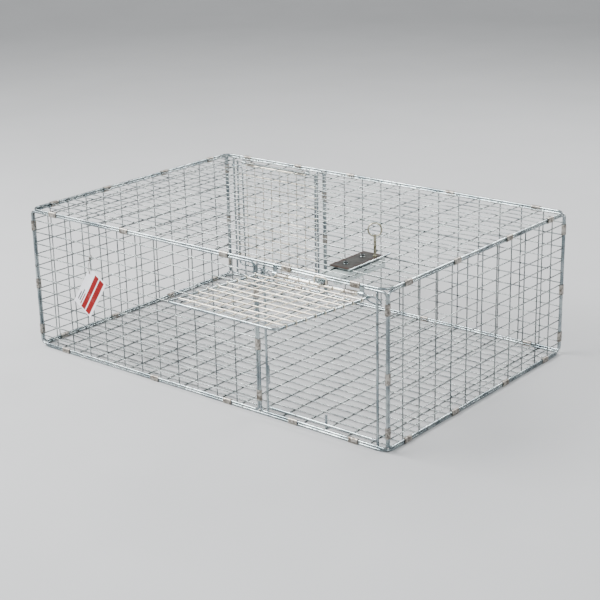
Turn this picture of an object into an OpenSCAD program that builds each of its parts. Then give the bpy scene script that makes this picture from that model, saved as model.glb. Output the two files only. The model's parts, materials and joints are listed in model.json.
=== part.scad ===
// Two-door live-catch cage trap in welded galvanised wire.
// Millimetres, +Z up. Origin: middle of the footprint, on the ground.
// The front is the -Y side; its doorway is at the +X end. The rear doorway is the
// same doorway turned half a turn about Z, so it is at the -X end.

/* [Cage] */
// Outside length of the cage, along X
cage_length = 914.4; // [900:1:1000]
// Outside width of the cage, along Y
cage_width = 609.6; // [560:1:700]
// Outside height of the cage
cage_height = 304.8; // [300:0.2:320]
// Distance from one mesh wire to the next, close way
close_pitch = 25.4; // [25:0.1:26]
// Distance from one mesh wire to the next, open way
open_pitch = 50.8; // [50:0.1:52]

/* [Rods and wires] */
// Diameter of the border and guide rods
rod_d = 4.8; // [4.4:0.1:5]
// Diameter of the mesh wires
wire_d = 2.3; // [1.8:0.1:2.6]
// Bend radius of the top and floor borders, to the rod's centre
top_bend = 20; // [15:1:22]
// Bend radius of the wall borders, to the rod's centre
wall_bend = 8; // [6:1:12]

/* [Doorway] */
// X of the middle of the front doorway
door_x = 307.3; // [306:0.1:309]
// Half the distance between the two guide rods
guide_half = 127; // [126:0.1:130]
// X of the border rod at the doorway end of the front wall
wall_end_x = 157.5; // [155:0.5:160]
// Height of the hinge rod
hinge_z = 287; // [286:0.1:288]
// Distance of the hinge rod in front of the guide rods
hinge_out = 3.6; // [3.4:0.1:4]

/* [Door] */
// Half the distance between the door's side rods
door_half = 118; // [116:0.5:119]
// Length of the door, from the hinge to the far rod
door_length = 254; // [250:1:255]
// Tilt of the open door above level, in degrees
open_tilt = 3.2; // [0:0.1:5]
// Lean of the closed door against its stop, in degrees
closed_lean = 0.7; // [0:0.1:0.7]

/* [Latch] */
// Width of the latch plate, along X
plate_w = 45.8; // [44:0.1:46]
// Length of the latch plate, along Y
plate_l = 102.8; // [100:0.1:110]
// Height of the pull pin above the plate
pin_rise = 41.5; // [30:0.5:50]
// Outside diameter of the pull ring
pull_ring_d = 27; // [24:1:30]

/* [Tag] */
// Width of the card tag
tag_w = 54; // [40:1:60]
// Length of the card tag
tag_l = 95; // [80:1:100]
// Lean of the hanging tag, in degrees
tag_lean = 32.6; // [20:0.1:35]

/* [Hidden] */
$fn = 48;
inch = 25.4;
touch = 0.02;                       // gap left between pieces that only touch
rod_r = rod_d / 2;
wire_r = wire_d / 2;
side_gap = 0.05;                    // gap between two rods clipped side by side
rod_step = rod_d + side_gap;        // centre distance of two clipped rods

// Centre lines of the rods along the cage's edges
edge_x = cage_length / 2 - rod_r;
edge_y = cage_width / 2 - rod_r;
floor_z = rod_r;
top_z = cage_height - rod_r;
wall_low = floor_z + rod_step;      // lower rod of every wall
wall_high = top_z - rod_step;       // upper rod of every wall
wall_h = wall_high - wall_low;
wall_mid = (wall_high + wall_low) / 2;
side_y = edge_y - rod_step;         // upright end rods of the two side walls
layer = wire_r + touch / 2;         // each wire layer lies this far off the rod plane

// Colours
zinc = [0.72, 0.76, 0.77];
bright_zinc = [0.80, 0.83, 0.83];
warm_zinc = [0.82, 0.81, 0.77];
clip_grey = [0.55, 0.53, 0.49];
dark_plate = [0.27, 0.24, 0.23];
pin_brass = [0.55, 0.53, 0.38];
card_white = [0.93, 0.92, 0.90];

// ---------- general pieces ----------

// A straight rod from one point to another along one axis: "x", "y" or "z"
module rod(axis, at, from, to, d) {
    turn = axis == "x" ? [0, 90, 0] : axis == "y" ? [-90, 0, 0] : [0, 0, 0];
    start = axis == "x" ? [from, at[0], at[1]]
        : axis == "y" ? [at[0], from, at[1]] : [at[0], at[1], from];
    translate(start) rotate(turn) cylinder(h = to - from, d = d);
}

// A quarter bend in the XY plane, centred on the origin, from +X to +Y
module bend(radius, d) {
    rotate_extrude(angle = 90) translate([radius, 0]) circle(d = d);
}

// A closed border rod in the XY plane, w by h between centre lines
module border(w, h, radius) {
    for (side = [-1, 1]) {
        rod("x", [side * h / 2, 0], -w / 2 + radius, w / 2 - radius, rod_d);
        rod("y", [side * w / 2, 0], -h / 2 + radius, h / 2 - radius, rod_d);
    }
    for (quarter = [0:3]) {
        swap = quarter % 2 == 1;
        corner = [(swap ? h : w) / 2 - radius, (swap ? w : h) / 2 - radius, 0];
        rotate([0, 0, 90 * quarter]) translate(corner) bend(radius, rod_d);
    }
}

// Wires along X at every multiple of pitch that fits, on the +Z side of the plane
module long_wires(w, pitch, last, offset = 0) {
    for (k = [-last:last])
        rod("x", [k * pitch + offset, layer], -w / 2 + rod_r + touch, w / 2 - rod_r - touch, wire_d);
}

// Wires along Y, on the -Z side of the plane
module cross_wires(h, places) {
    for (x = places)
        rod("y", [x, -layer], -h / 2 + rod_r + touch, h / 2 - rod_r - touch, wire_d);
}

// Puts a panel drawn in XY onto the front wall, its +Z side outwards
module onto_front(x_mid) {
    translate([x_mid, -edge_y, wall_mid]) rotate([90, 0, 0]) children();
}

// Puts a panel drawn in XY onto the right wall, its +Z side outwards
module onto_right() {
    translate([edge_x, 0, wall_mid]) rotate([90, 0, 90]) children();
}

// Half a turn about Z: the rear is the front turned round
module to_rear() {
    rotate([0, 0, 180]) children();
}

// ---------- panels ----------

panel_w = edge_x * 2;
panel_h = edge_y * 2;
front_w = edge_x + wall_end_x;      // front wall, between its end rods
front_mid = (wall_end_x - edge_x) / 2;
side_w = side_y * 2;
rows_up = 5;                        // wall wires on each side of the middle one
middle_row = 6 * close_pitch - wall_mid;
top_places = [for (k = [-8:8]) k * open_pitch];
front_places = [for (k = [-8:2]) k * open_pitch - front_mid];
side_places = [for (k = [-5:5]) k * open_pitch];

module flat_frame() { border(panel_w, panel_h, top_bend); }
module flat_long() { long_wires(panel_w, close_pitch, 11); }
module flat_cross() { cross_wires(panel_h, top_places); }

module front_panel_frame() { onto_front(front_mid) border(front_w, wall_h, wall_bend); }
module front_panel_long() {
    onto_front(front_mid) long_wires(front_w, close_pitch, rows_up, middle_row);
}
module front_panel_uprights() { onto_front(front_mid) cross_wires(wall_h, front_places); }

module side_frame() { onto_right() border(side_w, wall_h, wall_bend); }
module side_long() { onto_right() long_wires(side_w, close_pitch, rows_up, middle_row); }
module side_uprights() { onto_right() cross_wires(wall_h, side_places); }

module floor_frame() { color(zinc) translate([0, 0, floor_z]) flat_frame(); }
module floor_long_wires() { color(bright_zinc) translate([0, 0, floor_z]) flat_long(); }
module floor_cross_wires() { color(bright_zinc) translate([0, 0, floor_z]) flat_cross(); }
module top_frame() { color(zinc) translate([0, 0, top_z]) flat_frame(); }
module top_long_wires() { color(bright_zinc) translate([0, 0, top_z]) flat_long(); }
module top_cross_wires() { color(bright_zinc) translate([0, 0, top_z]) flat_cross(); }
module front_frame() { color(zinc) front_panel_frame(); }
module front_long_wires() { color(bright_zinc) front_panel_long(); }
module front_upright_wires() { color(bright_zinc) front_panel_uprights(); }
module rear_frame() { color(zinc) to_rear() front_panel_frame(); }
module rear_long_wires() { color(bright_zinc) to_rear() front_panel_long(); }
module rear_upright_wires() { color(bright_zinc) to_rear() front_panel_uprights(); }
module right_frame() { color(zinc) side_frame(); }
module right_long_wires() { color(bright_zinc) side_long(); }
module right_upright_wires() { color(bright_zinc) side_uprights(); }
module left_frame() { color(zinc) to_rear() side_frame(); }
module left_long_wires() { color(bright_zinc) to_rear() side_long(); }
module left_upright_wires() { color(bright_zinc) to_rear() side_uprights(); }

// ---------- doorway ----------

jamb_x = wall_end_x + rod_step;     // border rod of the doorway beside the wall's end rod
doorway_w = edge_x - jamb_x;
doorway_mid = (edge_x + jamb_x) / 2;
bar_low = wall_low + rod_r + touch;
bar_high = wall_high - rod_r - touch;
sill_z = 19;                        // bar across the foot of the doorway
stop_x = 315;
stop_top = 34.5;                    // the closed door rests against the post below this
hinge_y = -edge_y - hinge_out;
hinge_half = 104;                   // half the length of the hinge rod
hanger_half = 97;                   // hangers either side of the middle
hanger_w = 9;
sheet = 1.5;

module doorway_frame() { onto_front(doorway_mid) border(doorway_w, wall_h, wall_bend); }
module guide_rods() {
    for (side = [-1, 1])
        rod("z", [door_x + side * guide_half, -edge_y], bar_low, bar_high, rod_d);
}
module sill_bar() {
    reach = guide_half - rod_r - touch;
    rod("x", [-edge_y, sill_z], door_x - reach, door_x + reach, rod_d);
}
// The stop post stands just behind the sill bar
module stop_post() {
    post_y = -edge_y + rod_d + touch;
    rod("z", [stop_x, post_y], wall_low, stop_top, rod_d);
    for (z = [wall_low, stop_top]) translate([stop_x, post_y, z]) sphere(d = rod_d);
}
module hinge_rod() {
    rod("x", [hinge_y, hinge_z], door_x - hinge_half, door_x + hinge_half, rod_d);
}
// A strap on the front of the doorway's top rod, with an eye that holds the hinge rod
module hanger_outline() {
    back = hinge_out - rod_r - touch;
    difference() {
        union() {
            circle(r = rod_r + side_gap + sheet);
            translate([back - sheet, 0]) square([sheet, wall_high - hinge_z + rod_r]);
        }
        circle(r = rod_r + side_gap);
    }
}
module hinge_hangers() {
    for (side = [-1, 1])
        translate([door_x + side * hanger_half - hanger_w / 2, hinge_y, hinge_z])
            rotate([90, 0, 90]) linear_extrude(hanger_w) hanger_outline();
}

module front_doorway_frame() { color(zinc) doorway_frame(); }
module front_guide_rods() { color(zinc) guide_rods(); }
module front_sill_bar() { color(zinc) sill_bar(); }
module front_stop_post() { color(zinc) stop_post(); }
module front_hinge_rod() { color(warm_zinc) hinge_rod(); }
module front_hinge_hangers() { color(warm_zinc) hinge_hangers(); }
module rear_doorway_frame() { color(zinc) to_rear() doorway_frame(); }
module rear_guide_rods() { color(zinc) to_rear() guide_rods(); }
module rear_sill_bar() { color(zinc) to_rear() sill_bar(); }
module rear_stop_post() { color(zinc) to_rear() stop_post(); }
module rear_hinge_rod() { color(warm_zinc) to_rear() hinge_rod(); }
module rear_hinge_hangers() { color(warm_zinc) to_rear() hinge_hangers(); }

// An extra upright rod just inside the rear doorway, its top bent over behind the guide rod
guard_x = 403.6;
guard_d = 3.6;
guard_low = 9;
guard_top = 270;
guard_bend = 8;
module rear_guard_rod() {
    guard_y = -edge_y + rod_r + guard_d / 2 + touch;
    far_end = door_x + guide_half + rod_r;
    color(zinc) to_rear() {
        rod("z", [guard_x, guard_y], guard_low, guard_top, guard_d);
        translate([guard_x + guard_bend, guard_y, guard_top])
            rotate([90, 0, 0]) rotate([0, 0, 90]) bend(guard_bend, guard_d);
        rod("x", [guard_y, guard_top + guard_bend], guard_x + guard_bend, far_end, guard_d);
    }
}

// A small tab with a hole, on the doorway side of the left guide rod
module guide_tab() {
    tab_low = 66;
    tab_h = 37;
    tab_w = 3.8;
    hole_up = 10;
    start = door_x - guide_half + rod_r + touch;
    color(clip_grey) difference() {
        translate([start, -edge_y - sheet / 2, tab_low]) cube([tab_w, sheet, tab_h]);
        translate([start + tab_w / 2, -edge_y, tab_low + hole_up])
            rotate([90, 0, 0]) cylinder(h = 3 * sheet, d = tab_w / 2, center = true);
    }
}

// ---------- doors ----------
// A door is drawn flat, hinge along X through the origin, reaching out along -Y.

bar_out = 5.1;                      // hinge bar, in front of the hinge rod
frame_start = 2;                    // free ends of the U rod, just behind the hinge
door_bend = 9;
row_pitch = (door_length - bar_out) / 10;
bar_half = 91;                      // half the length of the hinge bar
door_clip_places = [-3, 3] * close_pitch;
bail_x = 10.2;                      // catch loop, off the middle of the door
bail_half = 13.5;
bail_rise = 15;
bail_d = 3;
bail_bend = 5;

// U-shaped rod: both sides and the far end
module door_frame() {
    for (side = [-1, 1])
        rod("y", [side * door_half, 0], -door_length + door_bend, frame_start, rod_d);
    rod("x", [-door_length, 0], -door_half + door_bend, door_half - door_bend, rod_d);
    translate([door_half - door_bend, -door_length + door_bend, 0])
        rotate([0, 0, -90]) bend(door_bend, rod_d);
    translate([-door_half + door_bend, -door_length + door_bend, 0])
        rotate([0, 0, 180]) bend(door_bend, rod_d);
}
module door_hinge_bar() {
    rod("x", [-bar_out, 0], -bar_half, bar_half, rod_d);
}
module door_rows() {
    reach = door_half - rod_r - touch;
    for (k = [1:9])
        rod("x", [-bar_out - k * row_pitch, layer], -reach, reach, wire_d);
}
module door_uprights() {
    for (k = [-4:3])
        rod("y", [(k + 0.5) * close_pitch, -layer],
            -door_length + rod_r + touch, -bar_out - rod_r - touch, wire_d);
}
// Folded clips that join the hinge bar to the hinge rod and turn on it
module door_clips() {
    for (x = door_clip_places)
        translate([x, -bar_out / 2, 0]) rotate([0, 90, 0]) clip(bar_out);
}
// Catch loop standing on the hinge bar
module door_bail() {
    foot = rod_r + touch;
    translate([bail_x, -bar_out, 0]) {
        for (side = [-1, 1]) {
            rod("z", [side * bail_half, 0], foot, bail_rise - bail_bend, bail_d);
            translate([side * (bail_half - bail_bend), 0, bail_rise - bail_bend])
                rotate([90, 0, 0]) rotate([0, 0, side > 0 ? 0 : 90]) bend(bail_bend, bail_d);
        }
        rod("x", [0, bail_rise], -bail_half + bail_bend, bail_half - bail_bend, bail_d);
    }
}

// Places a door on the front hinge, turned down by the given angle from level
module hang_door(down) {
    translate([door_x, hinge_y, hinge_z]) rotate([down, 0, 0]) children();
}
open_angle = -open_tilt;
closed_angle = 90 + closed_lean;

module front_door_frame() { color(zinc) hang_door(open_angle) door_frame(); }
module front_door_hinge_bar() { color(zinc) hang_door(open_angle) door_hinge_bar(); }
module front_door_rows() { color(warm_zinc) hang_door(open_angle) door_rows(); }
module front_door_uprights() { color(warm_zinc) hang_door(open_angle) door_uprights(); }
module front_door_clips() { color(clip_grey) hang_door(open_angle) door_clips(); }
module front_door_bail() { color(warm_zinc) hang_door(open_angle) door_bail(); }
module rear_door_frame() { color(zinc) to_rear() hang_door(closed_angle) door_frame(); }
module rear_door_hinge_bar() { color(zinc) to_rear() hang_door(closed_angle) door_hinge_bar(); }
module rear_door_rows() { color(warm_zinc) to_rear() hang_door(closed_angle) door_rows(); }
module rear_door_uprights() { color(warm_zinc) to_rear() hang_door(closed_angle) door_uprights(); }
module rear_door_clips() { color(clip_grey) to_rear() hang_door(closed_angle) door_clips(); }
module rear_door_bail() { color(warm_zinc) to_rear() hang_door(closed_angle) door_bail(); }

// ---------- lock rings ----------
// Each ring is threaded on a guide rod and on the door's side rod, and rocks at 45 degrees.

ring_mean_r = 15.5;
ring_wire = 3;
ring_offset = (guide_half + door_half) / 2;
ring_out = 5.8;                     // ring centre in front of the guide rod
ring_drop = 5.4;                    // ring centre below the hinge

module lock_ring(side) {
    centre = [door_x + side * ring_offset, -edge_y - ring_out, hinge_z - ring_drop];
    color(bright_zinc) translate(centre) rotate([-45, 0, 0])
        rotate_extrude() translate([ring_mean_r, 0]) circle(d = ring_wire);
}
module lock_ring_left() { lock_ring(-1); }
module lock_ring_right() { lock_ring(1); }

// ---------- clips ----------

clip_l = 21;
clip_sheet = 1.2;
seam_w = 2;

// A folded clip round two rods along Z that stand a step apart along Y, its seam at +X
module clip(step = rod_step) {
    bore = rod_r + side_gap;
    skin = bore + clip_sheet;
    translate([0, 0, -clip_l / 2]) linear_extrude(clip_l) difference() {
        union() {
            for (side = [-1, 1]) translate([0, side * step / 2]) circle(r = skin);
            square([2 * skin, step], center = true);
        }
        for (side = [-1, 1]) translate([0, side * step / 2]) circle(r = bore);
        square([2 * bore, step], center = true);
        translate([0, -seam_w / 2]) square([2 * skin, seam_w]);
    }
}

front_top_clips = [-15.3, -7.1, 3.3, 9.25, 15.3] * inch;
front_floor_clips = [-14.9, -4.6, 3.1, 9.5, 15] * inch;
side_clips = [-9.5, -3.5, 3.5, 9.5] * inch;
upright_clips = [1.5, 5.5, 10.5] * inch;
jamb_places = [1.5, 5.5, 9.5] * inch;

// Clips along the front, rear and side edges at one height
module edge_clips(x_places, z) {
    for (turn = [0, 180]) rotate([0, 0, turn]) {
        for (x = x_places) translate([x, -edge_y, z]) rotate([90, 0, 90]) clip();
        for (y = side_clips) translate([edge_x, y, z]) rotate([90, 0, 180]) clip();
    }
}
module top_edge_clips() {
    color(clip_grey) edge_clips(front_top_clips, (top_z + wall_high) / 2);
}
module floor_edge_clips() {
    color(clip_grey) edge_clips(front_floor_clips, (floor_z + wall_low) / 2);
}
module corner_clips() {
    mid = -(edge_y + side_y) / 2;
    color(clip_grey) for (turn = [0, 180], z = upright_clips) rotate([0, 0, turn]) {
        translate([-edge_x, mid, z]) clip();
        translate([edge_x, mid, z]) rotate([0, 0, 180]) clip();
    }
}
module jamb_clips() {
    mid = (wall_end_x + jamb_x) / 2;
    color(clip_grey) for (turn = [0, 180], z = jamb_places) rotate([0, 0, turn])
        translate([mid, -edge_y, z]) rotate([0, 0, 90]) clip();
}

// ---------- latch ----------

plate_x = 294.6;                    // left edge of the plate and channel
plate_y = -256.5;                   // front edge of the plate
plate_t = 2;
plate_z = top_z + layer + wire_r + touch;
web_top = top_z - layer - wire_r - touch;
channel_front = -284;
channel_rear = -150;
flange_low = 284;
eyelets = [[314.5, -233.4], [313.2, -182.6]];
eyelet_bore = 4.8;
eyelet_d = 7.2;
eyelet_rim = 10;
eyelet_lip = 9.2;
eyelet_rise = 4.6;                  // lip of a rivet above the plate
rim_t = 0.8;
pin_at = [332.7, -170.9];
pin_d = 5;
pivot_at = [-272, 290];             // Y and Z of the trigger's pivot
pivot_d = 4;
fit = 0.05;                         // radial running clearance
tongue_w = 14;
tongue_x = 331.5;
tongue_low = 283;
finger_x = door_x + bail_x;         // the trigger's finger works in the middle of the bail
finger_w = 12;
lever_x0 = finger_x - finger_w / 2;
lever_x1 = 337.5;
lever_t = 2;

module eyelet_holes() {
    for (at = eyelets) translate([at[0], at[1], 290])
        cylinder(h = 30, d = eyelet_d + 0.2);
    translate([pin_at[0], pin_at[1], 290]) cylinder(h = 30, d = pin_d + 1);
}

module latch_plate() {
    color(dark_plate) difference() {
        translate([plate_x, plate_y, plate_z]) cube([plate_w, plate_l, plate_t]);
        eyelet_holes();
    }
}

// Sheet channel under the mesh, with two side flanges and a tongue at the front
module latch_channel() {
    length = channel_rear - channel_front;
    drop = web_top - flange_low;
    color(zinc) difference() {
        union() {
            translate([plate_x, channel_front, web_top - plate_t])
                cube([plate_w, length, plate_t]);
            for (x = [plate_x, plate_x + plate_w - plate_t])
                translate([x, channel_front, flange_low]) cube([plate_t, length, drop]);
            translate([tongue_x, channel_front + plate_t, tongue_low + tongue_w / 2])
                rotate([90, 0, 0]) linear_extrude(plate_t) {
                    circle(d = tongue_w);
                    translate([-tongue_w / 2, 0])
                        square([tongue_w, web_top - tongue_low - tongue_w / 2]);
                }
        }
        eyelet_holes();
        translate([0, pivot_at[0], pivot_at[1]]) rotate([0, 90, 0])
            cylinder(h = 2 * plate_x, d = pivot_d + 2 * fit);
    }
}

// Two tubular rivets that clamp the plate and the channel to the mesh, with flared lips
module latch_eyelets() {
    low = web_top - plate_t - touch - rim_t;
    high = plate_z + plate_t + touch;
    lip_t = 1.4;
    lip_low = high + eyelet_rise - lip_t;
    color(bright_zinc) for (at = eyelets) translate([at[0], at[1], 0]) difference() {
        union() {
            translate([0, 0, low]) cylinder(h = lip_low + lip_t - low, d = eyelet_d);
            for (z = [low, high]) translate([0, 0, z]) cylinder(h = rim_t, d = eyelet_rim);
            translate([0, 0, lip_low]) cylinder(h = lip_t, d = eyelet_lip);
        }
        translate([0, 0, low - 1]) cylinder(h = 2 * eyelet_rim, d = eyelet_bore);
    }
}

// A wire rod lying on the mesh beside the plate
module latch_edge_rod() {
    d = 3.5;
    color(bright_zinc)
        rod("y", [plate_x + plate_w + d / 2 + 1, plate_z + d / 2], -262, -140, d);
}

// Cross pin of the trigger, with a head at each end
module trigger_pivot() {
    head_t = 1.5;
    x0 = plate_x - touch;
    x1 = plate_x + plate_w + touch;
    color(bright_zinc) {
        rod("x", pivot_at, x0 - head_t, x1 + head_t, pivot_d);
        rod("x", pivot_at, x0 - head_t, x0, pivot_d + 3);
        rod("x", pivot_at, x1, x1 + head_t, pivot_d + 3);
    }
}

// Lever with a finger towards the door's catch loop and a tail over the pull pin's collar
finger_up = 2.3;                    // underside of the finger above the pivot
finger_reach = 44.3;
tip_rise = 2;
tail_low = 6;                       // underside of the tail below the pivot
tail_reach = 109;
module lever_hub() {
    circle(d = pivot_d + 5);
    translate([0, -tail_low]) square([tail_reach, lever_t]);
}
module finger_outline() {
    translate([-finger_reach, finger_up]) square([finger_reach, lever_t]);
    translate([-finger_reach, finger_up]) square([lever_t, lever_t + tip_rise]);
}
module trigger_lever() {
    color(zinc) difference() {
        translate([lever_x0, pivot_at[0], pivot_at[1]]) rotate([90, 0, 90]) {
            linear_extrude(lever_x1 - lever_x0) lever_hub();
            linear_extrude(finger_w) finger_outline();
        }
        translate([0, pivot_at[0], pivot_at[1]]) rotate([0, 90, 0])
            cylinder(h = 2 * plate_x, d = pivot_d + 2 * fit);
        translate([pin_at[0], pin_at[1], flange_low - 10]) cylinder(h = 20, d = pin_d + 2);
    }
}

// Pull pin: a collar rests on the plate and another lies under the lever's tail
pin_low = 279;
pin_top = plate_z + plate_t + pin_rise;
ring_eye = 3;                       // pull ring's hole below the top of the pin
ring_turn = 35;
pull_wire = 2.6;
module pull_pin() {
    tail_z = pivot_at[1] - tail_low;
    color(pin_brass) translate([pin_at[0], pin_at[1], 0]) difference() {
        union() {
            translate([0, 0, pin_low]) cylinder(h = pin_top - pin_low, d = pin_d);
            translate([0, 0, tail_z - 3.5]) cylinder(h = 3.2, d = pin_d + 4);
            translate([0, 0, plate_z + plate_t + fit]) cylinder(h = 2.5, d = pin_d + 3);
        }
        translate([0, 0, pin_top - ring_eye]) rotate([90, 0, 90 + ring_turn])
            cylinder(h = 2 * pin_d, d = pull_wire + 0.7, center = true);
    }
}
// The pull ring passes through the hole near the top of the pin
module pull_ring() {
    mean_r = (pull_ring_d - pull_wire) / 2;
    color(pin_brass) translate([pin_at[0], pin_at[1], pin_top - ring_eye + mean_r])
        rotate([90, 0, ring_turn]) rotate_extrude() translate([mean_r, 0]) circle(d = pull_wire);
}

// ---------- tag ----------

tag_at = [-287, 153.5];             // X and Z of the card's middle
tag_y = -edge_y - 3.5;
tag_t = 0.6;
tag_hole = [-21, 36];               // hole from the card's middle, across and along the card
tag_cuts = [[-1, 11], [1, 3]];      // side and size of the cut top corners
tie_d = 1.2;
tie_leg_d = 1;
tie_x = -281.9;
tie_z = 9 * inch;
tie_loop_r = 3.5;
row_y = -edge_y - layer;
hole_at = tag_at + tag_hole[0] * [cos(tag_lean), -sin(tag_lean)]
    + tag_hole[1] * [sin(tag_lean), cos(tag_lean)];

module tag_card() {
    color(card_white) translate([tag_at[0], tag_y, tag_at[1]]) rotate([90, tag_lean, 0])
        translate([0, 0, -tag_t / 2]) linear_extrude(tag_t) difference() {
            square([tag_w, tag_l], center = true);
            translate(tag_hole) circle(d = 4);
            for (cut = tag_cuts) translate([cut[0] * tag_w / 2, tag_l / 2])
                rotate(45) square(cut[1] * sqrt(2), center = true);
        }
}
// A wire tie: a loop round one mesh wire, a straight leg and a knot in the card's hole
module tag_tie() {
    leg_y = row_y - tie_loop_r;
    leg = hole_at - [tie_x, tie_z];
    color(warm_zinc) {
        translate([tie_x, row_y, tie_z]) rotate([0, 90, 0])
            rotate_extrude() translate([tie_loop_r, 0]) circle(d = tie_d);
        translate([tie_x, leg_y, tie_z]) rotate([0, atan2(leg[0], leg[1]), 0])
            cylinder(h = norm(leg), d = tie_leg_d);
        translate([hole_at[0], leg_y, hole_at[1]]) sphere(d = 3);
    }
}

floor_frame();
floor_long_wires();
floor_cross_wires();
top_frame();
top_long_wires();
top_cross_wires();
front_frame();
front_long_wires();
front_upright_wires();
rear_frame();
rear_long_wires();
rear_upright_wires();
left_frame();
left_long_wires();
left_upright_wires();
right_frame();
right_long_wires();
right_upright_wires();
front_doorway_frame();
front_guide_rods();
front_sill_bar();
front_stop_post();
rear_doorway_frame();
rear_guide_rods();
rear_sill_bar();
rear_stop_post();
front_hinge_rod();
front_hinge_hangers();
rear_hinge_rod();
rear_hinge_hangers();
rear_guard_rod();
guide_tab();
front_door_frame();
front_door_hinge_bar();
front_door_rows();
front_door_uprights();
front_door_clips();
front_door_bail();
rear_door_frame();
rear_door_hinge_bar();
rear_door_rows();
rear_door_uprights();
rear_door_clips();
rear_door_bail();
lock_ring_left();
lock_ring_right();
top_edge_clips();
floor_edge_clips();
corner_clips();
jamb_clips();
latch_plate();
latch_channel();
latch_eyelets();
latch_edge_rod();
trigger_pivot();
trigger_lever();
pull_pin();
pull_ring();
tag_card();
tag_tie();
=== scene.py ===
import json
import math

import bpy
import numpy as np
from mathutils import Matrix, Vector


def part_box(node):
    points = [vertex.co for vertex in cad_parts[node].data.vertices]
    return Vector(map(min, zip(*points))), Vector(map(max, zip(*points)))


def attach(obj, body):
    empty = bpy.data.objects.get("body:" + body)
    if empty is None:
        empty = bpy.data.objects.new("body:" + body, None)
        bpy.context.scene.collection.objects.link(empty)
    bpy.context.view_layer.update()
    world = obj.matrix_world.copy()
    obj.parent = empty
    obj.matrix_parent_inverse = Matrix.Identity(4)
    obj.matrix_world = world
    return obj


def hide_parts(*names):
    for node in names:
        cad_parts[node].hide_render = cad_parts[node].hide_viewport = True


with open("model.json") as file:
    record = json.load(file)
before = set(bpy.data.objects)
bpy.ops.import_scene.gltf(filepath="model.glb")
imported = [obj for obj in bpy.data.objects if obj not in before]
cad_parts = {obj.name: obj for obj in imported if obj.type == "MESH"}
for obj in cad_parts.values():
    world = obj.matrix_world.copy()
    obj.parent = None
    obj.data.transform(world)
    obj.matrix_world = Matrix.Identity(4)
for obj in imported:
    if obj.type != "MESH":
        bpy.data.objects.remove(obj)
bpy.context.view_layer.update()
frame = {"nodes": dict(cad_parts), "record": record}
NODES = frame["nodes"]
BODIES = frame["record"]["behaviour"]["bodies"]
BODY_OF = {node: body for body, members in BODIES.items() for node in members}
MM = 0.001
rng = np.random.default_rng(24)

# ---------------------------------------------------------------- camera

AZIMUTH = math.radians(39.71)
ELEVATION = math.radians(18.94)
ROLL = math.radians(-1.27)
EYE = Vector((1.789, -2.139, 1.066))
LENS, SENSOR = 85.02, 36.0
NEAREST, FARTHEST = 0.05, 50.0


def make_camera():
    """The camera at EYE, turned by AZIMUTH and ELEVATION and rolled by ROLL."""
    ahead = Vector((-math.sin(AZIMUTH) * math.cos(ELEVATION),
                    math.cos(AZIMUTH) * math.cos(ELEVATION), -math.sin(ELEVATION)))
    right = ahead.cross(Vector((0, 0, 1))).normalized()
    up = right.cross(ahead)
    side = math.cos(ROLL) * right + math.sin(ROLL) * up
    top = -math.sin(ROLL) * right + math.cos(ROLL) * up
    data = bpy.data.cameras.new("camera")
    data.lens, data.sensor_width = LENS, SENSOR
    data.clip_start, data.clip_end = NEAREST, FARTHEST
    camera = bpy.data.objects.new("camera", data)
    camera.matrix_world = (Matrix.Translation(EYE)
                           @ Matrix((side, top, -ahead)).transposed().to_4x4())
    bpy.context.scene.collection.objects.link(camera)
    bpy.context.scene.camera = camera


make_camera()

# ---------------------------------------------------------------- materials


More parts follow.
